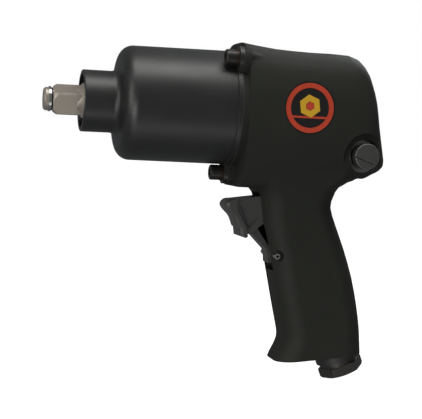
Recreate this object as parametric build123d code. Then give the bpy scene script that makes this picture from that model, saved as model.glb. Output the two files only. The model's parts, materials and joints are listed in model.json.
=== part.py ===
from build123d import *
import os
from math import atan2, cos, degrees, hypot, pi, radians, sin, tan

# Pistol-grip air impact wrench. Millimetres, +Z up, +X out of the anvil, +Y to the tool's left.
# The origin is the centre of the hammer case's nose face, on the drive axis.

# Driving dimensions
drive_square = 12.7
nose_radius = 16.7
nose_length = 15.5
case_radius = 31.0
case_back = -82.0
gasket_thickness = 0.6
flange_thickness = 3.0
flange_radius = 32.4
upper_screw = (24.6, 26.2)
lower_screw = (0.0, -35.9)
motor_bore_radius = 25.6
motor_back = -140.2
rotor_radius = 18.0
vane_count = 6
ball_count = 9
pivot = (-110.0, -80.7)
throttle_height = -58.0
valve_centre = (-153.4, -23.4)
badge_centre = (-119.0, 1.4)
badge_radius = 14.0
badge_floor = 30.6
inlet_centre = (-154.2, -142.0)
inlet_tilt = 22.0
grip_half_width = 17.0
knob_radius = 7.1
dial_radius = 12.7
running_gap = 0.05

# Faces along the drive axis, worked out from the above
gasket_back = case_back - gasket_thickness
housing_front = gasket_back
flange_back = housing_front - flange_thickness
ears = [upper_screw, (-upper_screw[0], upper_screw[1]), lower_screw]
inlet_axis = Vector(-sin(radians(inlet_tilt)), 0, -cos(radians(inlet_tilt)))


def save(shape, node):
    export_step(shape, "parts/" + node + ".step")


def rod(start, end, radius):
    """A round bar between two points."""
    a = Vector(*start)
    b = Vector(*end)
    middle = Plane(origin=(a + b) * 0.5, z_dir=b - a)
    return middle * Cylinder(radius, (b - a).length)


def bar(front, back, radius):
    """A round bar on the drive axis between two faces."""
    return rod((back, 0, 0), (front, 0, 0), radius)


def tube(front, back, outer, inner):
    """A round sleeve on the drive axis."""
    return bar(front, back, outer) - bar(front + 1, back - 1, inner)


def turned(outline):
    """A solid turned about the drive axis from (x, radius) points or curves."""
    edges = outline if isinstance(outline, list) else [outline]
    return revolve(Plane.XZ * make_face(edges), axis=Axis.X)


def across(x_at, y_at, z_at):
    """A plane square to the drive axis."""
    return Plane((x_at, y_at, z_at), x_dir=(0, 1, 0), z_dir=(1, 0, 0))


def along_inlet(distance):
    """A point on the inlet's axis, measured outwards from the hexagon's upper face."""
    return Vector(inlet_centre[0], 0, inlet_centre[1]) + inlet_axis * distance


def inlet_rod(start, end, radius):
    return rod(along_inlet(start), along_inlet(end), radius)


def cross_rod(x, z, y_from, y_to, radius):
    """A round bar along Y."""
    return rod((x, y_from, z), (x, y_to, z), radius)


# ---------------------------------------------------------------- hammer case and its joint

def flange_plate(front, back, radius, ear_radius):
    """The joint's outline: a disc with three ears for the screws."""
    plate = bar(front, back, radius)
    thickness = front - back
    for y, z in ears:
        reach = hypot(y, z)
        arm = Rectangle(reach, 2 * ear_radius, align=(Align.MIN, Align.CENTER))
        turned_arm = Rot(0, 0, degrees(atan2(z, y))) * arm
        plate += extrude(across(back, 0, 0) * turned_arm, thickness)
        plate += rod((back, y, z), (front, y, z), ear_radius)
    return plate


def screw_holes(front, back, radius):
    return [rod((back, y, z), (front, y, z), radius) for y, z in ears]


def hammer_case():
    outline = [
        Line((0, 14.4), (0, nose_radius - 0.4)),
        Line((0, nose_radius - 0.4), (-0.4, nose_radius)),
        Line((-0.4, nose_radius), (-nose_length, nose_radius)),
        ThreePointArc((-nose_length, nose_radius), (-18.0, 17.75), (-19.0, 20.3)),
        Line((-19.0, 20.3), (-19.5, 24.0)),
        ThreePointArc((-19.5, 24.0), (-21.8, 28.9), (-27.2, case_radius)),
        Line((-27.2, case_radius), (case_back + 2.2, case_radius + 0.3)),
        Line((case_back + 2.2, case_radius + 0.3), (case_back + 2.2, flange_radius)),
        Line((case_back + 2.2, flange_radius), (case_back, flange_radius)),
        Polyline((case_back, flange_radius), (case_back, 26.6), (-26.6, 26.6), (-25.4, 25.4),
                 (-25.4, 12.0), (-6.5, 12.0), (-6.5, 14.4), (0, 14.4)),
    ]
    case = turned(outline)
    case += flange_plate(case_back + 2.2, case_back, flange_radius, 6.1)
    case -= bar(case_back + 5, case_back - 1, 26.6)
    for hole in screw_holes(case_back + 4, case_back - 1, 2.8):
        case -= hole
    return case


def case_gasket():
    gasket = flange_plate(case_back, gasket_back, flange_radius + 0.1, 6.0)
    gasket -= bar(case_back + 1, gasket_back - 1, 26.8)
    for hole in screw_holes(case_back + 1, gasket_back - 1, 2.8):
        gasket -= hole
    return gasket


def case_screw(y, z):
    seat = case_back + 2.2 + 1.3
    head = rod((seat, y, z), (seat + 5.8, y, z), 4.25)
    head = chamfer(head.edges().filter_by(GeomType.CIRCLE).sort_by(Axis.X)[-1], 0.5)
    socket = RegularPolygon(2.3, 6)
    head -= extrude(across(seat + 2.6, y, z) * socket, 4)
    shank = rod((seat, y, z), (flange_back - 2, y, z), 2.45)
    return head + shank


def lock_washer(y, z):
    seat = case_back + 2.2
    washer = rod((seat, y, z), (seat + 1.3, y, z), 4.45) - rod((seat - 1, y, z), (seat + 2, y, z), 2.6)
    split = Pos(seat + 0.65, y, z + 3.6) * Rot(35, 0, 0) * Box(3, 0.5, 2.6)
    return washer - split


# ---------------------------------------------------------------- anvil and impact mechanism

def anvil_bushing():
    return tube(-6.7, -25.2, 11.95, 9.5 + running_gap)


def anvil():
    square_front = 15.2
    nib = bar(20.3, 11, 6.25)
    nib = chamfer(nib.edges().filter_by(GeomType.CIRCLE).sort_by(Axis.X)[-1], 0.9)
    nib -= tube(17.7, 15.4, 8, 5.2)
    square = extrude(across(-4, 0, 0) * Rectangle(drive_square, drive_square), square_front + 4)
    square = Rot(-28, 0, 0) * square
    bound = turned(Polyline((-4, 0), (-4, 8.45), (13.2, 8.45), (square_front, 6.9), (square_front, 0),
                            close=True))
    square = square & bound
    root = turned(Polyline((3.4, 0), (3.4, 6.3), (1.6, 7.1), (0.2, 8.4), (-0.6, 9.5), (-31.6, 9.5),
                           (-31.6, 0), close=True))
    core = bar(-31.0, -61.2, 8.4)
    pilot = bar(-60, -66.5, 5.0)
    jaws = Pos(-46.4, 0, 0) * Box(29.6, 10.0, 30) & bar(-31.6, -61.2, 13.2)
    return nib + square + root + core + jaws + pilot


def socket_ring():
    """Split friction ring that holds a socket on the square."""
    ring = tube(17.6, 16.4, 6.75, 5.45)
    return ring - Pos(17.1, 0, -6) * Box(3, 1.6, 4)


def socket_oring():
    return revolve(Plane.XZ * Pos(15.9, 5.75) * Circle(0.42), axis=Axis.X)


hammer_pin_radius = 20.6


def hammer(front, back):
    """Swinging hammer: a ring hung on one pin, with a clearance notch for the other."""
    ring = tube(front, back, 21.0, 14.8)
    lug = Pos((front + back) / 2, -14.6, 0) * Box(front - back, 2.0, 7)
    ring += lug - bar(front + 1, back - 1, 13.6)
    ring -= rod((back - 1, 0, hammer_pin_radius), (front + 1, 0, hammer_pin_radius), 3.0 + running_gap)
    ring -= Pos((front + back) / 2, 0, -hammer_pin_radius) * Box(front - back + 2, 12.2, 7.2)
    return ring


def hammer_frame():
    """Cage that carries both hammers: two discs, two bridges and a splined hub."""
    frame = tube(-27.2, -31.2, 25.4, 10.2) + tube(-61.8, -66.2, 25.4, 5.0 + running_gap)
    bridges = tube(-31.2, -61.8, 25.4, 22.9)
    keep = Pos(-46.5, 0, 0) * Box(30.6, 60, 20)
    frame += bridges & keep
    frame += tube(-66.2, -77.0, 12.0, 6.6)
    for side in (1, -1):
        z = side * hammer_pin_radius
        frame -= rod((-68, 0, z), (-25, 0, z), 3.0 + running_gap)
    return frame


def hammer_pin(side):
    z = side * hammer_pin_radius
    return rod((-65.8, 0, z), (-27.6, 0, z), 3.0)


# ---------------------------------------------------------------- air motor

front_plate = (-83.0, -91.5)
liner = (-91.5, -130.0)
rear_plate = (-130.0, -139.6)
bearing_width = 7.0


def end_plate(inner_face, outer_face):
    """Bearing plate that closes one end of the motor cylinder."""
    front = max(inner_face, outer_face)
    back = min(inner_face, outer_face)
    inward = 1 if inner_face > outer_face else -1
    plate = bar(front, back, 25.5)
    pocket_floor = outer_face + inward * (bearing_width + 0.1)
    plate -= rod((outer_face - inward, 0, 0), (pocket_floor, 0, 0), 14.0 + running_gap)
    plate -= bar(front + 1, back - 1, 8.0)
    plate -= rod((front + 1, 0, 22.9), (back - 1, 0, 22.9), 1.55)
    return plate


def motor_cylinder():
    """Liner with a two-lobed chamber: closest above and below the rotor, widest at the sides."""
    length = liner[0] - liner[1]
    chamber = extrude(across(liner[1] - 1, 0, 0) * Ellipse(21.3, rotor_radius + 0.35), length + 2)
    shell = bar(liner[0], liner[1], 25.5) - chamber
    for side in (1, -1):
        port = Pos((liner[0] + liner[1]) / 2, side * 14, -20) * Box(18, 3, 16)
        shell -= port
    shell -= rod((liner[0] + 1, 0, 22.9), (liner[1] - 1, 0, 22.9), 1.55)
    return shell


def liner_dowel():
    return rod((-84.0, 0, 22.9), (-138.5, 0, 22.9), 1.5)


vane_root = 9.6
vane_thickness = 2.0


def rotor():
    body = bar(liner[0] - 0.3, liner[1] + 0.3, rotor_radius)
    for k in range(vane_count):
        slot = Pos(-110.75, vane_root - 0.2 + 10, 0) * Box(45, 20, vane_thickness + 0.2)
        body -= Rot(360 * k / vane_count, 0, 0) * slot
    body += bar(-68.0, -139.2, 6.0)
    splines = Pos(-71.5, 0, 0) * Box(7, 12.8, 2.4)
    for k in range(3):
        body += Rot(60 * k, 0, 0) * splines
    return body


def vane(k):
    height = rotor_radius + 0.1 - vane_root
    blade = Pos(-110.75, vane_root + height / 2, 0) * Box(37.6, height, vane_thickness)
    return Rot(360 * k / vane_count, 0, 0) * blade


def bearing_span(outer_face, inward):
    ends = (outer_face, outer_face + inward * bearing_width)
    return max(ends), min(ends)


def race_groove(middle, radius):
    return revolve(Plane.XZ * Pos(middle, 10.1) * Circle(radius), axis=Axis.X)


def outer_race(span):
    return tube(span[0], span[1], 14.0, 11.6) - race_groove(sum(span) / 2, 2.3)


def inner_race(span):
    return tube(span[0], span[1], 8.6, 6.05) - race_groove(sum(span) / 2, 2.3)


def ball_ring(span):
    """Nine balls with the riveted cage that spaces them."""
    middle = sum(span) / 2
    balls = []
    cage = tube(middle + 2.7, middle - 2.7, 10.9, 9.3)
    for k in range(ball_count):
        angle = 2 * pi * k / ball_count
        spot = Pos(middle, 10.1 * cos(angle), 10.1 * sin(angle))
        cage -= spot * Sphere(2.08)
        balls.append(spot * Sphere(2.0))
    return Compound(children=balls + list(cage.solids()))


# ---------------------------------------------------------------- motor housing with its grip

# Stations along the barrel: x, top, bottom, height of the widest point, half width.
# The last ones round off the back.
barrel_stations = [
    (flange_back, 35.9, -43.1, 0.0, 32.4),
    (-104.0, 33.5, -43.1, 0.0, 32.2),
    (-125.0, 32.7, -42.0, 0.0, 31.8),
    (-146.0, 32.4, -39.3, -1.0, 31.2),
    (-153.5, 28.3, -36.2, -3.0, 30.5),
    (-156.8, 21.9, -36.2, -5.5, 29.4),
    (-159.8, 13.1, -35.2, -9.5, 27.6),
    (-162.3, 1.4, -33.9, -16.0, 24.8),
    (-165.8, -12.9, -32.6, -22.5, 20.5),
    (-169.3, -21.5, -31.1, -26.3, 14.0),
]

# Stations down the grip: height, front x, back x, half width.
grip_stations = [
    (-24.0, -92.0, -158.0, 26.0),
    (-36.0, -91.5, -152.0, 23.4),
    (-41.5, -95.6, -144.7, 20.9),
    (-46.5, -99.8, -142.5, 19.2),
    (-53.0, -101.2, -141.5, 17.9),
    (-63.0, -102.6, -145.3, grip_half_width),
    (-76.0, -106.4, -150.7, grip_half_width),
    (-92.0, -110.1, -156.3, grip_half_width),
    (-108.0, -113.7, -160.2, grip_half_width),
    (-120.0, -116.6, -162.3, grip_half_width),
    (-126.5, -117.9, -163.0, grip_half_width),
    (-131.0, -117.2, -163.4, grip_half_width),
    (-135.5, -115.1, -163.8, grip_half_width),
    (-139.5, -113.3, -164.2, grip_half_width),
    (-144.0, -112.9, -164.6, grip_half_width),
]


def blended(stations, steps):
    """Stations with even steps added between them on one smooth curve through all of them."""
    count = len(stations)
    result = []
    for k in range(count - 1):
        before, start, end, after = (stations[min(max(k + step, 0), count - 1)] for step in (-1, 0, 1, 2))
        for step in range(steps):
            t = step / steps
            weights = (
                (2 * t**2 - t - t**3) / 2,
                (2 - 5 * t**2 + 3 * t**3) / 2,
                (t + 4 * t**2 - 3 * t**3) / 2,
                (t**3 - t**2) / 2,
            )
            values = zip(before, start, end, after)
            result.append(tuple(sum(w * v for w, v in zip(weights, row)) for row in values))
    return result + [stations[-1]]


def barrel_section(x, top, bottom, middle, half):
    """A rounded, flat-sided ring that narrows to a flat bottom."""
    rise = top - middle
    drop = middle - bottom
    foot = 0.44 * half
    upper = [(0, top), (0.62 * half, middle + 0.92 * rise), (0.865 * half, middle + 0.725 * rise),
             (0.972 * half, middle + 0.41 * rise)]
    lower = [(0.975 * half, middle - 0.35 * drop), (0.86 * half, middle - 0.66 * drop),
             (0.67 * half, middle - 0.9 * drop), (foot, bottom)]
    edges = [Line((foot, bottom), (-foot, bottom))]
    for side in (1, -1):
        crown = [(side * y, z) for y, z in upper + [(half, middle)]]
        flank = [(side * y, z) for y, z in [(half, middle)] + lower]
        edges.append(Spline(*crown, tangents=[(side, 0), (0, -1)]))
        edges.append(Spline(*flank, tangents=[(0, -1), (-side, 0)]))
    return across(x, 0, 0) * make_face(edges)


def grip_section(z, front, back, half):
    length = front - back
    outline = RectangleRounded(length, 2 * half, min(11.5, half - 2))
    return Pos((front + back) / 2, 0, z) * outline


def housing_body():
    barrel = loft([barrel_section(*station) for station in blended(barrel_stations, 2)], ruled=True)
    barrel -= cross_rod(*badge_centre, badge_floor, 40, badge_radius + 0.15)
    grip = loft([grip_section(*station) for station in blended(grip_stations, 2)], ruled=True)
    butt = Plane(origin=(-113.0, 0, -140.3), z_dir=(-0.1, 0, -0.995))
    grip -= butt * Pos(0, 0, 20) * Box(200, 80, 40)
    body = barrel + grip
    body += flange_plate(housing_front, flange_back - 0.5, flange_radius - 0.2, 6.3)
    for y, z in ears[:2]:
        fairing = Cone(2.4, 4.6, 9, align=(Align.CENTER, Align.CENTER, Align.MAX))
        body += across(flange_back, 0.985 * y, 0.985 * z) * fairing
    return body


def air_ways():
    """Inlet bore, throttle bore, supply drilling, exhaust duct and their crossings."""
    throttle_x = inlet_centre[0] + (throttle_height - inlet_centre[1]) * tan(radians(inlet_tilt))
    return [
        inlet_rod(-84, 12, 6.2),
        inlet_rod(-16, 12, 8.6),
        rod((-113.4, 0, throttle_height), (-131.7, 0, throttle_height), 7.05),
        rod((throttle_x - 2, -9, throttle_height + 1), (valve_centre[0] + 2, -9, valve_centre[1]), 3.0),
        rod((-130, 0, -20), (-136.6, 0, -60), 3.2),
        Pos(-136.6, 0, -60) * Sphere(3.6),
        rod((-136.6, 0, -60), (-151.6, 0, -101), 3.0),
        Pos(-151.6, 0, -101) * Sphere(3.4),
        rod((-151.6, 0, -101), (-158.2, 0, -125), 2.8),
        Pos(-158.2, 0, -125) * Sphere(3.1),
        rod((-158.2, 0, -125), (-159.2, 0, -135), 2.6),
    ]


def motor_housing():
    body = housing_body()
    body -= bar(housing_front + 1, motor_back, motor_bore_radius)
    for hole in screw_holes(housing_front + 1, flange_back - 3, 2.5):
        body -= hole
    channel = Box(30, 16.6, 43.3, align=(Align.MIN, Align.CENTER, Align.MIN))
    channel = Pos(-115.5, 0, -89.3) * channel
    body -= fillet(channel.edges().filter_by(Axis.Y), 3)
    body -= cross_rod(pivot[0], pivot[1], -30, 30, 1.75)
    body -= cross_rod(pivot[0], pivot[1], 13.0, 30, 3.6)
    body -= cross_rod(pivot[0], pivot[1], -30, -13.0, 3.6)
    for way in air_ways():
        body -= way
    body -= inlet_rod(-6.8, 12, 12.85)
    x, z = valve_centre
    body -= cross_rod(x, z, -40, 40, 9.0)
    body -= cross_rod(x, z, 26.0, 40, dial_radius)
    body -= cross_rod(x, z, -40, -26.0, 11.8)
    return body


# ---------------------------------------------------------------- badge

def name_badge():
    """Plain round plate with a raised rim and a raised hexagon nut sign."""
    x, z = badge_centre
    plate = cross_rod(x, z, badge_floor, badge_floor + 0.7, badge_radius)
    face = Plane((x, badge_floor + 0.7, z), x_dir=(-1, 0, 0), z_dir=(0, 1, 0))
    rim = Circle(badge_radius) - Circle(badge_radius - 3.2)
    sign = RegularPolygon(6.4, 6) - Circle(3.2)
    return plate + extrude(face * rim, 0.25) + extrude(face * sign, 0.25)


# ---------------------------------------------------------------- trigger and throttle

def pad_section(y, inset):
    """Outline of the finger pad, its front set back towards the sides to round it."""
    crest = [(-84.6, -50.2), (-81.8, -51.2), (-80.6, -53.4), (-81.4, -55.4), (-83.5, -57.7),
             (-86.3, -61.2), (-88.4, -65.6), (-89.6, -70.4)]
    front = [(x - inset, z) for x, z in crest]
    back = [front[-1], (-92.8, -71.4), (-94.2, -70.6), (-92.9, -65.4), (-90.4, -60.8), (-88.0, -56.8),
            (-87.4, -53.6), (-87.4, -50.2), front[0]]
    edges = [Spline(*front, tangents=[(1, 0), (-0.15, -1)]), Polyline(*back)]
    return Pos(0, y, 0) * (Plane.XZ * make_face(edges))


def trigger():
    """Lever trigger: a curved finger pad, a webbed plate and a slim arm down to the pivot."""
    px, pz = pivot
    plate = Polyline((-84.2, -50.4), (-101, -48.1), (-103, -57.5), (-103.4, -63.0), (-99.4, -66.0),
                     (-96.4, -68.9), (-93.6, -69.4), (-92.2, -70.2), (-91.2, -66.0), (-88.8, -61.2),
                     (-85.6, -57.0), close=True)
    body = extrude(Plane.XZ * make_face(plate), 7.7, both=True)
    window = Polyline((-88.6, -53.4), (-99.3, -52.2), (-100.8, -60.0), (-94.6, -66.6),
                      (-91.8, -60.6), close=True)
    cut = extrude(Plane.XZ * fillet(make_face(window).vertices(), 0.9), 1.8, both=True)
    for side in (1, -1):
        body -= Pos(0, side * 8.2, 0) * cut
    arm = Polyline((-93.8, -66.0), (-97.4, -69.3), (-106.2, -78.2), (-107.0, -81.0), (-107.4, -85.3),
                   (px - 2.4, -85.3), (px - 3.4, pz + 2.6), (-107.0, -75.6), (-100.4, -66.2),
                   (-98.0, -63.5), close=True)
    body += extrude(Plane.XZ * make_face(arm), 5.2, both=True)
    body -= cross_rod(px, pz, -20, 20, 1.6 + running_gap)
    sides = [(-9.0, 2.1), (-7.9, 0.8), (-5.6, 0.0), (5.6, 0.0), (7.9, 0.8), (9.0, 2.1)]
    return body + loft([pad_section(y, inset) for y, inset in sides], ruled=True)


def trigger_pin():
    """Rolled spring pin."""
    px, pz = pivot
    pin = cross_rod(px, pz, -14.6, 14.6, 1.6) - cross_rod(px, pz, -20, 20, 0.75)
    return pin - Pos(px - 1.2, 0, pz) * Box(1.2, 40, 0.35)


def throttle_seat():
    seat = rod((-113.5, 0, throttle_height), (-118.0, 0, throttle_height), 7.0)
    seat -= rod((-112, 0, throttle_height), (-120, 0, throttle_height), 2.0 + running_gap)
    for k in range(4):
        angle = pi * (k / 2 + 0.25)
        y = 4.2 * cos(angle)
        z = throttle_height + 4.2 * sin(angle)
        seat -= rod((-112, y, z), (-120, y, z), 1.1)
    return seat


def throttle_plunger():
    stem = rod((-104.4, 0, throttle_height), (-119.5, 0, throttle_height), 2.0)
    stem = fillet(stem.edges().filter_by(GeomType.CIRCLE).sort_by(Axis.X)[-1], 1.2)
    disc = rod((-118.8, 0, throttle_height), (-120.4, 0, throttle_height), 6.2)
    return stem + disc


def throttle_seal():
    ring = rod((-118.3, 0, throttle_height), (-118.78, 0, throttle_height), 5.9)
    return ring - rod((-117, 0, throttle_height), (-120, 0, throttle_height), 2.1)


def throttle_spring():
    coil = Helix(pitch=2.2, height=10.0, radius=3.6, direction=(-1, 0, 0), center=(-121.0, 0, throttle_height))
    section = Plane(origin=coil @ 0, z_dir=coil % 0) * Circle(0.4)
    return sweep(section, path=coil, is_frenet=True)


# ---------------------------------------------------------------- reverse valve and regulator

valve_outer = 8.9


def valve_bushing():
    x, z = valve_centre
    sleeve = cross_rod(x, z, -22.0, 22.0, valve_outer) - cross_rod(x, z, -30, 30, 6.6 + running_gap)
    for way in air_ways()[3:4]:
        sleeve -= way
    return sleeve


def reverse_spool():
    """Sliding sleeve that swaps the air's path; a button closes its far end."""
    x, z = valve_centre
    spool = cross_rod(x, z, -20.0, 20.5, 6.6)
    for y in (-12.0, 0.0, 12.0):
        waist = cross_rod(x, z, y - 2.5, y + 2.5, 10) - cross_rod(x, z, y - 3, y + 3, 5.4)
        spool -= waist
    return spool - cross_rod(x, z, -15.0, 30, 3.0 + running_gap)


def reverse_button():
    x, z = valve_centre
    button = cross_rod(x, z, -20.0, -27.4, knob_radius - 1.2)
    return chamfer(button.edges().filter_by(GeomType.CIRCLE).sort_by(Axis.Y)[0], 0.7)


def regulator_knob():
    """Slotted knob on a stem that turns inside the spool."""
    x, z = valve_centre
    knob = cross_rod(x, z, 26.6, 31.2, knob_radius)
    knob = fillet(knob.edges().filter_by(GeomType.CIRCLE).sort_by(Axis.Y)[-1], 0.6)
    knob += cross_rod(x, z, -14.0, 27.0, 3.0)
    knob += cross_rod(x, z, 21.0, 26.8, 6.2)
    slot = Box(12.4, 1.6, 1.1, align=(Align.MAX, Align.MAX, Align.CENTER))
    slot = Pos(x + 8.0, 31.4, z) * Rot(0, -20.0, 0) * slot
    return knob - slot


# ---------------------------------------------------------------- air inlet and exhaust

def hexagon(start, end, across_flats, turn):
    seat = Plane(origin=along_inlet(start), x_dir=(0, 1, 0), z_dir=inlet_axis)
    face = seat * Rot(0, 0, turn) * RegularPolygon(across_flats / 2, 6, major_radius=False)
    return extrude(face, end - start)


def inlet_bushing():
    body = inlet_rod(-15.5, 0.5, 8.5)
    nut = hexagon(0, 5.3, 22.5, -22.0)
    guard = inlet_rod(-0.5, 5.3, 12.9)
    guard = chamfer(guard.edges().filter_by(GeomType.CIRCLE), 0.9)
    body += (nut & guard) + inlet_rod(-2.6, 0.2, 10.8) + inlet_rod(5.0, 5.8, 10.6)
    body -= inlet_rod(-8.2, 8, 5.6)
    body -= inlet_rod(-16.5, -7.5, 4.0)
    return body


def inlet_screen():
    """Domed mesh strainer pressed in the bushing, drawn as a perforated cup."""
    cup = inlet_rod(-22.0, -15.6, 4.0) - inlet_rod(-21.2, -15, 3.4)
    seat = Plane(origin=along_inlet(-22.5), x_dir=(0, 1, 0), z_dir=inlet_axis)
    for k in range(6):
        spot = seat * Rot(0, 0, 60 * k) * Pos(2.1, 0, 0)
        cup -= spot * Cylinder(0.55, 3)
    return cup


def exhaust_deflector():
    """Turning collar that aims the exhaust through slots in its side."""
    collar = inlet_rod(-6.4, -2.8, 12.7) - inlet_rod(-10, 1, 8.9)
    collar -= inlet_rod(-10, -3.9, 11.2)
    seat = Plane(origin=along_inlet(-4.9), x_dir=(0, -1, 0), z_dir=inlet_axis)
    for k in range(7):
        vent = Pos(12, 0, 0) * Box(8, 1.8, 1.4)
        collar -= seat * Rot(0, 0, 16 * (k - 3)) * vent
    return collar


def deflector_ring():
    """Soft ring between the deflector and the grip."""
    return inlet_rod(-6.75, -6.45, 12.4) - inlet_rod(-8, -6, 11.3)


# ---------------------------------------------------------------- write every node

os.makedirs("parts", exist_ok=True)
front_span = bearing_span(front_plate[0], -1)
rear_span = bearing_span(rear_plate[1], 1)
nodes = {
    "motor_housing": motor_housing(),
    "hammer_case": hammer_case(),
    "case_gasket": case_gasket(),
    "case_screws": Compound(children=[case_screw(*spot) for spot in ears]),
    "lock_washers": Compound(children=[lock_washer(*spot) for spot in ears]),
    "anvil_bushing": anvil_bushing(),
    "anvil": anvil(),
    "socket_ring": socket_ring(),
    "socket_oring": socket_oring(),
    "hammer_front": hammer(-32.0, -46.2),
    "hammer_rear": Rot(180, 0, 0) * hammer(-46.8, -61.0),
    "hammer_frame": hammer_frame(),
    "hammer_pins": Compound(children=[hammer_pin(1), hammer_pin(-1)]),
    "front_end_plate": end_plate(front_plate[1], front_plate[0]),
    "motor_cylinder": motor_cylinder(),
    "rear_end_plate": end_plate(rear_plate[0], rear_plate[1]),
    "liner_dowel": liner_dowel(),
    "rotor": rotor(),
    "front_outer_race": outer_race(front_span),
    "front_inner_race": inner_race(front_span),
    "front_bearing_balls": ball_ring(front_span),
    "rear_outer_race": outer_race(rear_span),
    "rear_inner_race": inner_race(rear_span),
    "rear_bearing_balls": ball_ring(rear_span),
    "name_badge": name_badge(),
    "trigger": trigger(),
    "trigger_pin": trigger_pin(),
    "throttle_seat": throttle_seat(),
    "throttle_plunger": throttle_plunger(),
    "throttle_seal": throttle_seal(),
    "throttle_spring": throttle_spring(),
    "valve_bushing": valve_bushing(),
    "reverse_spool": reverse_spool(),
    "reverse_button": reverse_button(),
    "regulator_knob": regulator_knob(),
    "inlet_bushing": inlet_bushing(),
    "inlet_screen": inlet_screen(),
    "exhaust_deflector": exhaust_deflector(),
    "deflector_ring": deflector_ring(),
}
for k in range(vane_count):
    nodes["vane_" + str(k + 1)] = vane(k)
for node, shape in nodes.items():
    save(shape, node)
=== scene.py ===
import bmesh
import bpy
import json
from math import cos, pi, radians, sin
from mathutils import Matrix, Vector


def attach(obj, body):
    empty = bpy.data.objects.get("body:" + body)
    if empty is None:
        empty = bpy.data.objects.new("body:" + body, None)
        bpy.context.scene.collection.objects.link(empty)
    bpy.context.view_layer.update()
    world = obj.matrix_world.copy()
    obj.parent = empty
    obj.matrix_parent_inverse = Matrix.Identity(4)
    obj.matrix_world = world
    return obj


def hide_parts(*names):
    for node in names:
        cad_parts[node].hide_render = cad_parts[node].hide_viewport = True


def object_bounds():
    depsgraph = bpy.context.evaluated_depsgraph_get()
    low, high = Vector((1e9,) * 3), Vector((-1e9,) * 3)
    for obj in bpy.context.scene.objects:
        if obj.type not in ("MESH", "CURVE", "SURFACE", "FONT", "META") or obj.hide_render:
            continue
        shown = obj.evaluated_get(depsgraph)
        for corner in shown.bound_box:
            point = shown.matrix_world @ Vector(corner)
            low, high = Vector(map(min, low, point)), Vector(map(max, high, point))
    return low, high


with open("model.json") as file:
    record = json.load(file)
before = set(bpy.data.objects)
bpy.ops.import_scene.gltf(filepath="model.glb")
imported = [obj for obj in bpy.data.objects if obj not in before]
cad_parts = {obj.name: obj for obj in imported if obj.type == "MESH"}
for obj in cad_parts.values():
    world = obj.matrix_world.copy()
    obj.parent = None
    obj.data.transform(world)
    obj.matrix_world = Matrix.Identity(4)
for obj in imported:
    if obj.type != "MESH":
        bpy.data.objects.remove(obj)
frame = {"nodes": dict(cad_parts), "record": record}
cad_low, cad_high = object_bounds()

# Camera: a long lens level with the tool's left side, a little towards the nose and just above it,
# held with a slight roll so that the drive axis falls towards the grip.
view_target = Vector((-0.07456, 0.0, -0.0567))
view_distance = 0.660
view_yaw = radians(13.5)
view_height = radians(3.5)
view_roll = radians(2.6)
focal_length = 101.3
nearest_seen = 0.01
back = Vector((sin(view_yaw) * cos(view_height), cos(view_yaw) * cos(view_height), sin(view_height)))
level = Vector((-cos(view_yaw), sin(view_yaw), 0.0))
upward = back.cross(level)
right = level * cos(view_roll) + upward * sin(view_roll)
above = upward * cos(view_roll) - level * sin(view_roll)
camera = bpy.data.objects.new("camera", bpy.data.cameras.new("camera"))
camera.data.lens = focal_length
camera.data.clip_start = nearest_seen
camera.matrix_world = Matrix.Translation(view_target + back * view_distance) @ Matrix(
    (right, above, back)).transposed().to_4x4()
bpy.context.scene.collection.objects.link(camera)
bpy.context.scene.camera = camera

# Room: a white world that the lens sees as paper white and the tool sees as a dim grey studio,
# so that black paint keeps its depth. The colours are shown as they are, with no film curve.
world = bpy.data.worlds.new("studio")
bpy.context.scene.world = world
world.use_nodes = True
sky = world.node_tree.nodes
sky.clear()
seen = sky.new("ShaderNodeBackground")
seen.inputs["Color"].default_value = (1.0, 1.0, 1.0, 1.0)
seen.inputs["Strength"].default_value = 1.0
felt = sky.new("ShaderNodeBackground")
felt.inputs["Color"].default_value = (0.93, 0.96, 1.0, 1.0)
felt.inputs["Strength"].default_value = 0.17
path = sky.new("ShaderNodeLightPath")
choice = sky.new("ShaderNodeMixShader")
out = sky.new("ShaderNodeOutputWorld")
world.node_tree.links.new(path.outputs["Is Camera Ray"], choice.inputs["Fac"])
world.node_tree.links.new(felt.outputs[0], choice.inputs[1])
world.node_tree.links.new(seen.outputs[0], choice.inputs[2])
world.node_tree.links.new(choice.outputs[0], out.inputs["Surface"])
bpy.context.scene.view_settings.view_transform = "Standard"


# Lights: a wide soft box overhead that draws the long highlight on the hammer case, and four weaker
# ones: in front of the nose, under the grip, behind the tool, and low towards the left side.
def soft_light(name, place, aim, size, power, tint):
    """A rectangular soft box at a place, turned towards a point."""
    lamp = bpy.data.lights.new(name, "AREA")
    lamp.shape = "RECTANGLE"
    lamp.size = size[0]
    lamp.size_y = size[1]
    lamp.energy = power
    lamp.color = tint
    holder = bpy.data.objects.new(name, lamp)
    holder.location = place
    holder.rotation_euler = (Vector(aim) - Vector(place)).to_track_quat("-Z", "Y").to_euler()
    bpy.context.scene.collection.objects.link(holder)


middle = (cad_low + cad_high) / 2
nose = (-0.02, 0.0, 0.0)
grip_side = (-0.12, 0.0, -0.05)
warm = (1.0, 0.99, 0.97)
soft_light("overhead", (-0.06, 0.22, 0.75), middle, size=(1.0, 0.42), power=6.5, tint=warm)
soft_light("nose_fill", (0.75, 0.35, 0.15), nose, size=(0.4, 0.6), power=2.2, tint=warm)
soft_light("bounce", (-0.05, 0.42, -0.50), middle, size=(0.9, 0.22), power=0.7, tint=(1.0, 1.0, 0.97))
soft_light("rim", (-0.65, -0.45, 0.55), middle, size=(0.5, 0.5), power=2.5, tint=(0.95, 0.98, 1.0))
soft_light("front_fill", (0.45, 0.75, -0.25), grip_side, size=(0.4, 0.4), power=2.6, tint=(1.0, 1.0, 0.98))

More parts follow.
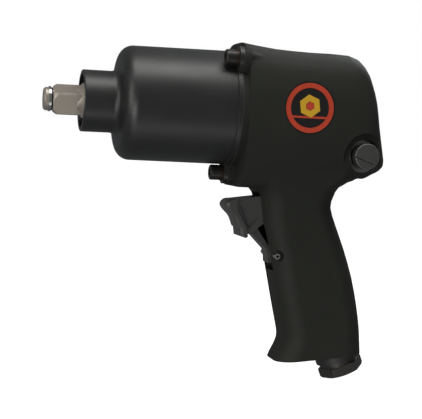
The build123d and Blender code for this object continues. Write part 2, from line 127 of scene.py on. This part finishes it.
# Floor: plain pale paper just under the tool's lowest point, swept wide so that no edge of it
# shows. It throws no light or shade back on the tool.
floor_reach = 6.0
floor_drop = 0.001
floor_mesh = bpy.data.meshes.new("floor")
floor = bpy.data.objects.new("floor", floor_mesh)
bm = bmesh.new()
bmesh.ops.create_grid(bm, x_segments=1, y_segments=1, size=floor_reach)
bmesh.ops.translate(bm, verts=bm.verts, vec=(0.0, 0.0, cad_low.z - floor_drop))
bm.to_mesh(floor_mesh)
bm.free()
paper = bpy.data.materials.new("paper_floor")
paper.use_nodes = True
paper_shader = paper.node_tree.nodes["Principled BSDF"]
paper_shader.inputs["Base Color"].default_value = (0.3, 0.3, 0.3, 1.0)
paper_shader.inputs["Roughness"].default_value = 0.9
paper_shader.inputs["Emission Color"].default_value = (1.0, 1.0, 1.0, 1.0)
paper_shader.inputs["Emission Strength"].default_value = 1.0
floor_mesh.materials.append(paper)
bpy.context.scene.collection.objects.link(floor)
floor.visible_diffuse = False
floor.visible_glossy = False
floor.visible_shadow = False


# Motor housing: one aluminium casting, barrel and grip together, blasted and sprayed a flat black.
# The spray leaves a fine, even grain, slightly lighter where hands and the bench rub the edges.
def node_group(name, inputs, outputs):
    """An empty shader group with named sockets: (name, kind, default) rows."""
    group = bpy.data.node_groups.new(name, "ShaderNodeTree")
    for label, kind, value in inputs:
        socket = group.interface.new_socket(label, in_out="INPUT", socket_type="NodeSocket" + kind)
        socket.default_value = value
    for label, kind in outputs:
        group.interface.new_socket(label, in_out="OUTPUT", socket_type="NodeSocket" + kind)
    return group, group.nodes.new("NodeGroupInput"), group.nodes.new("NodeGroupOutput")


def add(tree, kind, values=(), links=()):
    """A node with values set on it and other sockets led into it."""
    node = tree.nodes.new("ShaderNode" + kind)
    for key, value in dict(values).items():
        if hasattr(node, key):
            setattr(node, key, value)
        else:
            node.inputs[key].default_value = value
    for key, socket in dict(links).items():
        tree.links.new(socket, node.inputs[key])
    return node


def maths(tree, operation, first, second, clamp=False):
    """A sum of two numbers or sockets, held between 0 and 1 if asked."""
    node = tree.nodes.new("ShaderNodeMath")
    node.operation = operation
    node.use_clamp = clamp
    for slot, value in ((0, first), (1, second)):
        if isinstance(value, (int, float)):
            node.inputs[slot].default_value = value
        else:
            tree.links.new(value, node.inputs[slot])
    return node.outputs[0]


def edge_wear_group():
    """Rubbed edges: a mask from how fast the surface turns, broken up by noise."""
    group, source, sink = node_group(
        "edge_wear",
        (("Reach", "Float", 0.0006), ("Amount", "Float", 0.5), ("Scale", "Float", 300.0)),
        (("Mask", "Float"),),
    )
    place = add(group, "TexCoord")
    rounded = add(group, "Bevel", {"samples": 6}, {"Radius": source.outputs["Reach"]})
    true = add(group, "NewGeometry")
    turn = add(group, "VectorMath", {"operation": "DOT_PRODUCT"})
    group.links.new(rounded.outputs[0], turn.inputs[0])
    group.links.new(true.outputs["Normal"], turn.inputs[1])
    bend = maths(group, "SUBTRACT", 1.0, turn.outputs["Value"], True)
    patches = add(group, "TexNoise", {"Detail": 5.0},
                  {"Vector": place.outputs["Object"], "Scale": source.outputs["Scale"]})
    gain = 9.0
    broken = maths(group, "MULTIPLY", bend, maths(group, "MULTIPLY", patches.outputs["Fac"], gain))
    group.links.new(maths(group, "MULTIPLY", broken, source.outputs["Amount"], True), sink.inputs["Mask"])
    return group


def grain_group():
    """Even fine grain of a sprayed or blasted surface: a height and a slow colour drift."""
    group, source, sink = node_group(
        "grain",
        (("Size", "Float", 1500.0), ("Drift", "Float", 40.0)),
        (("Height", "Float"), ("Drift", "Float")),
    )
    place = add(group, "TexCoord")
    fine = add(group, "TexNoise", {"Detail": 3.0, "Roughness": 0.6},
               {"Vector": place.outputs["Object"], "Scale": source.outputs["Size"]})
    slow = add(group, "TexNoise", {"Detail": 4.0},
               {"Vector": place.outputs["Object"], "Scale": source.outputs["Drift"]})
    group.links.new(fine.outputs["Fac"], sink.inputs["Height"])
    group.links.new(slow.outputs["Fac"], sink.inputs["Drift"])
    return group


def placed(tree, group, values):
    """A group node set in a material with its own values."""
    node = tree.nodes.new("ShaderNodeGroup")
    node.node_tree = group
    for key, value in values.items():
        node.inputs[key].default_value = value
    return node


edge_wear = edge_wear_group()
grain = grain_group()
drift_scale = 45.0
wear_scale = 350.0
sheen_spread = 0.07


def coated(name, dark, light, worn, rough, depth, size, wear, reach=0.0005, metallic=0.0, specular=0.5):
    """A painted or treated metal: grain in colour, roughness and height, and rubbed edges."""
    material = bpy.data.materials.new(name)
    material.use_nodes = True
    tree = material.node_tree
    shader = tree.nodes["Principled BSDF"]
    shader.inputs["Metallic"].default_value = metallic
    shader.inputs["Specular IOR Level"].default_value = specular
    surface = placed(tree, grain, {"Size": size, "Drift": drift_scale})
    rub = placed(tree, edge_wear, {"Reach": reach, "Amount": wear, "Scale": wear_scale})
    tone = add(tree, "MixRGB", {"Color1": (*dark, 1.0), "Color2": (*light, 1.0)},
               {"Fac": surface.outputs["Drift"]})
    colour = add(tree, "MixRGB", {"Color2": (*worn, 1.0)},
                 {"Fac": rub.outputs["Mask"], "Color1": tone.outputs[0]})
    sheen = add(tree, "MapRange", {"To Min": rough - sheen_spread, "To Max": rough + sheen_spread},
                {"Value": surface.outputs["Drift"]})
    bump = add(tree, "Bump", {"Strength": 1.0, "Distance": depth}, {"Height": surface.outputs["Height"]})
    tree.links.new(colour.outputs[0], shader.inputs["Base Color"])
    tree.links.new(sheen.outputs[0], shader.inputs["Roughness"])
    tree.links.new(bump.outputs[0], shader.inputs["Normal"])
    return material


weld_gap = 2e-6
sliver = 1e-6
flat_turn = radians(0.5)


def refined(node, name, body, material, crease, edge=0.0):
    """A copy of a CAD node, smooth up to the crease angle and sharp past it, with broken edges if asked."""
    mesh = frame["nodes"][node].data.copy()
    mesh.name = name
    if "custom_normal" in mesh.attributes:
        mesh.attributes.remove(mesh.attributes["custom_normal"])
    bm = bmesh.new()
    bm.from_mesh(mesh)
    bmesh.ops.remove_doubles(bm, verts=bm.verts, dist=weld_gap)
    bmesh.ops.dissolve_degenerate(bm, edges=bm.edges, dist=sliver)
    if edge:
        bmesh.ops.dissolve_limit(bm, angle_limit=flat_turn, verts=bm.verts, edges=bm.edges,
                                 delimit={"NORMAL"})
    for face in bm.faces:
        face.smooth = True
    for line in bm.edges:
        line.smooth = line.calc_face_angle(0.0) < radians(crease)
    bm.to_mesh(mesh)
    bm.free()
    mesh.materials.clear()
    mesh.materials.append(material)
    piece = bpy.data.objects.new(name, mesh)
    bpy.context.scene.collection.objects.link(piece)
    if edge:
        broken = piece.modifiers.new("broken_edges", "BEVEL")
        broken.width = edge
        broken.segments = 2
        broken.limit_method = "ANGLE"
        broken.angle_limit = radians(crease)
        broken.use_clamp_overlap = True
    fair = piece.modifiers.new("even_shading", "WEIGHTED_NORMAL")
    fair.keep_sharp = True
    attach(piece, body)
    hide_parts(node)
    return piece


flat_black = coated("flat_black_spray", dark=(0.0165, 0.0178, 0.0142), light=(0.0210, 0.0226, 0.0182),
                    worn=(0.06, 0.06, 0.056), rough=0.60, depth=0.00003, size=1700.0, wear=0.10,
                    specular=0.17)
refined("motor_housing", "housing_casting", "tool", flat_black, crease=26.0)

# Hammer case: a steel forging turned on the nose and shoulder, then enamelled a half-gloss black
# over the forged skin, so the highlights look slightly pebbled. Three ears take the case screws.
enamel = coated("case_enamel", dark=(0.0085, 0.0085, 0.0082), light=(0.012, 0.012, 0.0115),
                worn=(0.16, 0.15, 0.14), rough=0.42, depth=0.000035, size=620.0, wear=0.16, reach=0.0004,
                specular=0.55)
refined("hammer_case", "case_forging", "tool", enamel, crease=34.0)

# Case screws: three socket cap screws of alloy steel with a black oxide, two above and one below,
# that pull the case onto the housing. Their heads have slightly broken edges that rub bright.
fitting_crease = 28.0
oxide = coated("oxide_black", dark=(0.02, 0.019, 0.018), light=(0.035, 0.033, 0.03), worn=(0.25, 0.23, 0.21),
               rough=0.38, depth=0.00002, size=900.0, wear=0.35, reach=0.0003, metallic=0.6)
refined("case_screws", "case_screws_finished", "tool", oxide, fitting_crease, edge=0.0002)


# Lock washers: split spring washers coiled from square wire, one under each screw head, with a thin
# darkened copper wash.
def dress(material, *slots):
    """Give a finish to every CAD node that the record puts in one of these slots."""
    for row in frame["record"]["subparts"]:
        if row["material_slot"] in slots:
            node = frame["nodes"][row["node"]]
            node.data.materials.clear()
            node.data.materials.append(material)


copper_wash = coated("washer_copper", dark=(0.030, 0.018, 0.013), light=(0.052, 0.030, 0.021),
                     worn=(0.2, 0.15, 0.12), rough=0.45, depth=0.00002, size=900.0, wear=0.3, reach=0.0002,
                     metallic=0.7)
dress(copper_wash, "washer_steel")

# Case gasket: punched from thin matt black fibre sheet, and nipped between the case flange and the
# housing so that only its edge shows.
fibre = coated("gasket_fibre", dark=(0.012, 0.011, 0.01), light=(0.02, 0.018, 0.016), worn=(0.04, 0.04, 0.04),
               rough=0.8, depth=0.00003, size=1500.0, wear=0.1)
dress(fibre, "gasket_fibre")

# Anvil: a case-hardened steel shaft ending in the half-inch square, left with the warm grey of its
# heat treatment and rubbed on the corners by sockets. It turns with the output.
anvil_steel = coated("anvil_steel", dark=(0.26, 0.225, 0.19), light=(0.40, 0.36, 0.31),
                     worn=(0.75, 0.72, 0.66), rough=0.42, depth=0.00004, size=900.0, wear=0.6, reach=0.0004,
                     metallic=0.6)
refined("anvil", "anvil_finished", "output", anvil_steel, fitting_crease, edge=0.00025)

# Bright steel: the split ring that holds a socket, with the bearings, dowels, pins, inlet screen and
# throttle spring, all ground or drawn and left bare.
bright_steel = coated("bright_steel", dark=(0.5, 0.49, 0.47), light=(0.6, 0.59, 0.57), worn=(0.8, 0.8, 0.8),
                      rough=0.25, depth=0.00001, size=900.0, wear=0.2, metallic=1.0)
dress(bright_steel, "ring_steel", "bearing_steel", "pin_steel", "spring_steel")

# Seals: soft black rubber. A round ring sits in the groove under the socket ring, a flat washer on
# the throttle plunger's disc, and a thin ring between the deflector and the grip.
rubber = coated("seal_rubber", dark=(0.01, 0.01, 0.01), light=(0.014, 0.014, 0.014), worn=(0.03, 0.03, 0.03),
                rough=0.55, depth=0.00001, size=900.0, wear=0.1)
dress(rubber, "seal_rubber")

# Anvil bushing and throttle seat: turned from bronze. The bushing is fitted in the nose of the case,
# and the seat, drilled with four air holes, in the throttle bore behind the trigger.
bronze = coated("bushing_bronze", dark=(0.32, 0.18, 0.07), light=(0.42, 0.25, 0.1), worn=(0.6, 0.4, 0.2),
                rough=0.38, depth=0.00001, size=900.0, wear=0.2, metallic=1.0)
dress(bronze, "bushing_bronze")

# Ground steel: the hammer cage and hammers, the rotor, and the reverse valve with its bushing,
# hardened and ground to a dull even grey.
tool_steel = coated("ground_steel", dark=(0.22, 0.22, 0.22), light=(0.3, 0.3, 0.3), worn=(0.6, 0.6, 0.6),
                    rough=0.35, depth=0.00001, size=900.0, wear=0.2, metallic=1.0)
dress(tool_steel, "tool_steel")

# Motor cylinder and end plates: grey cast iron, honed where the vanes and rotor run, and clamped in
# the housing's bore by the case.
iron = coated("honed_iron", dark=(0.14, 0.14, 0.14), light=(0.2, 0.2, 0.2), worn=(0.4, 0.4, 0.4), rough=0.5,
              depth=0.00003, size=700.0, wear=0.2, metallic=0.9)
dress(iron, "cylinder_iron")

# Vanes: six blades sawn from brown cloth laminate, loose in the rotor's slots and thrown out
# against the cylinder as it spins.
phenolic = coated("vane_laminate", dark=(0.12, 0.05, 0.02), light=(0.18, 0.08, 0.03), worn=(0.25, 0.14, 0.07),
                  rough=0.5, depth=0.00002, size=900.0, wear=0.1)
dress(phenolic, "vane_phenolic")

# Regulator knob and reverse button: turned steel with a thin dark plating, bright on the rims. The
# knob has a screwdriver slot and sits in the dial's recess on the left side.
knob_steel = coated("knob_steel", dark=(0.10, 0.10, 0.093), light=(0.14, 0.14, 0.13), worn=(0.6, 0.59, 0.56),
                    rough=0.42, depth=0.00002, size=1000.0, wear=0.5, reach=0.0003, metallic=0.85)
dress(knob_steel, "knob_steel")
refined("regulator_knob", "regulator_knob_finished", "regulator", knob_steel, fitting_crease,
        edge=0.0002)

# Inlet bushing: a phosphated steel fitting screwed into the foot of the grip, with a hexagon for the
# spanner that shows worn corners.
phosphate = coated("inlet_phosphate", dark=(0.05, 0.048, 0.044), light=(0.08, 0.077, 0.07),
                   worn=(0.5, 0.46, 0.4), rough=0.40, depth=0.00002, size=900.0, wear=0.5, reach=0.0003,
                   metallic=0.8)
refined("inlet_bushing", "inlet_bushing_finished", "tool", phosphate, fitting_crease,
        edge=0.0003)

# Trigger: a die casting in satin black that swings on a cross pin in the grip, and is lighter where
# fingers polish its edges.
trigger_black = coated("trigger_satin", dark=(0.042, 0.042, 0.040), light=(0.055, 0.055, 0.052),
                       worn=(0.16, 0.16, 0.155), rough=0.42, depth=0.00003, size=1200.0, wear=0.25)
refined("trigger", "trigger_finished", "trigger", trigger_black, fitting_crease)

# Exhaust deflector: a moulded black collar with vents in its side, turned by hand round the inlet
# bushing to aim the exhaust.
moulded = coated("deflector_moulded", dark=(0.014, 0.014, 0.014), light=(0.02, 0.02, 0.02),
                 worn=(0.05, 0.05, 0.05), rough=0.5, depth=0.00002, size=1200.0, wear=0.2)
dress(moulded, "deflector_black")


# Name badge: a printed aluminium disc glued in a shallow pocket on the left side: a black field,
# a broad red ring, and a generic sign of a yellow hexagon nut on a red bar.
def printed(name, colour, rough):
    """Screen print under clear lacquer, with a slight drift in its tone."""
    material = bpy.data.materials.new(name)
    material.use_nodes = True
    tree = material.node_tree
    shader = tree.nodes["Principled BSDF"]
    shader.inputs["Roughness"].default_value = rough
    surface = placed(tree, grain, {"Size": 2500.0, "Drift": 120.0})
    thin_ink = 0.86
    ink_depth = 0.000006
    low = tuple(value * thin_ink for value in colour)
    tone = add(tree, "MixRGB", {"Color1": (*low, 1.0), "Color2": (*colour, 1.0)},
               {"Fac": surface.outputs["Drift"]})
    bump = add(tree, "Bump", {"Strength": 1.0, "Distance": ink_depth}, {"Height": surface.outputs["Height"]})
    tree.links.new(tone.outputs[0], shader.inputs["Base Color"])
    tree.links.new(bump.outputs[0], shader.inputs["Normal"])
    return material


badge_at = Vector((-0.1190, 0.0306, 0.0014))
disc_depth = 0.0007
disc_face = (0.0, 0.0, disc_depth)
nut_middle = (0.0, 0.0010, disc_depth)
bar_middle = (0.0, -0.0050, disc_depth)
facing = Matrix(((-1, 0, 0), (0, 0, 1), (0, 1, 0))).to_4x4()


def badge_layer(name, outer, hole, sides, turn, depth, width, shift, material):
    """A flat layer of the badge, with an optional hole: turned, then stretched along the tool, then placed."""
    bm = bmesh.new()
    bmesh.ops.create_circle(bm, segments=sides, radius=outer, cap_ends=True)
    if hole:
        bmesh.ops.inset_region(bm, faces=bm.faces[:], thickness=outer - hole, use_boundary=True,
                               use_even_offset=True)
        inner = max(bm.faces, key=lambda face: len(face.verts))
        bmesh.ops.delete(bm, geom=[inner], context="FACES")
    grown = bmesh.ops.extrude_face_region(bm, geom=bm.faces[:])
    raised = [item for item in grown["geom"] if isinstance(item, bmesh.types.BMVert)]
    bmesh.ops.translate(bm, verts=raised, vec=(0.0, 0.0, depth))
    bmesh.ops.rotate(bm, verts=bm.verts, cent=(0, 0, 0), matrix=Matrix.Rotation(radians(turn), 3, "Z"))
    bmesh.ops.scale(bm, verts=bm.verts, vec=(width, 1.0, 1.0))
    bmesh.ops.translate(bm, verts=bm.verts, vec=shift)
    bmesh.ops.transform(bm, verts=bm.verts, matrix=Matrix.Translation(badge_at) @ facing)
    bmesh.ops.recalc_face_normals(bm, faces=bm.faces)
    mesh = bpy.data.meshes.new(name)
    bm.to_mesh(mesh)
    bm.free()
    mesh.materials.append(material)
    piece = bpy.data.objects.new(name, mesh)
    bpy.context.scene.collection.objects.link(piece)
    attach(piece, "tool")
    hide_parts("name_badge")
    return piece


badge_black = printed("badge_black", (0.009, 0.008, 0.007), 0.35)
badge_red = printed("badge_red", (0.50, 0.052, 0.022), 0.38)
badge_yellow = printed("badge_yellow", (0.62, 0.36, 0.02), 0.38)
badge_layer("badge_field", outer=0.0139, hole=0.0, sides=96, turn=0.0, depth=disc_depth, width=1.0,
            shift=(0.0, 0.0, 0.0), material=badge_black)
badge_layer("badge_ring", outer=0.0134, hole=0.0107, sides=96, turn=0.0, depth=0.00024, width=1.0,
            shift=disc_face, material=badge_red)
badge_layer("badge_bar", outer=0.0008, hole=0.0, sides=4, turn=45.0, depth=0.0002, width=17.0,
            shift=bar_middle, material=badge_red)
badge_layer("badge_nut", outer=0.0062, hole=0.0031, sides=6, turn=8.0, depth=0.00026, width=1.0,
            shift=nut_middle, material=badge_yellow)
badge_layer("badge_core", outer=0.0022, hole=0.0, sides=32, turn=0.0, depth=0.00026, width=1.0,
            shift=nut_middle, material=badge_red)

# Power dial numbers: small figures filled with darker paint on the floor of the dial's recess,
# round the regulator knob from 5 at its front to 0 at its top.
dial_at = Vector((-0.1534, 0.02602, -0.0234))
dial_ink = printed("dial_ink", (0.0035, 0.003, 0.003), 0.5)
dial_reach = 0.0109
figure_height = 0.0030
first_figure = 172.0
figure_step = 19.4
for count, figure in enumerate("543210"):
    angle = radians(first_figure - figure_step * count)
    curve = bpy.data.curves.new("dial_figure_" + figure, "FONT")
    curve.body = figure
    curve.size = figure_height
    curve.align_x = "CENTER"
    curve.align_y = "CENTER"
    curve.extrude = 0.00002
    text = bpy.data.objects.new("dial_text_" + figure, curve)
    mesh = bpy.data.meshes.new_from_object(text)
    bpy.data.objects.remove(text)
    spot = Matrix.Translation((dial_reach * cos(angle), dial_reach * sin(angle), 0.0))
    mesh.transform(Matrix.Translation(dial_at) @ facing @ spot @ Matrix.Rotation(angle - pi / 2, 4, "Z"))
    mesh.name = "dial_figure_" + figure
    mesh.materials.clear()
    mesh.materials.append(dial_ink)
    mark = bpy.data.objects.new("dial_figure_" + figure, mesh)
    bpy.context.scene.collection.objects.link(mark)
    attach(mark, "tool")
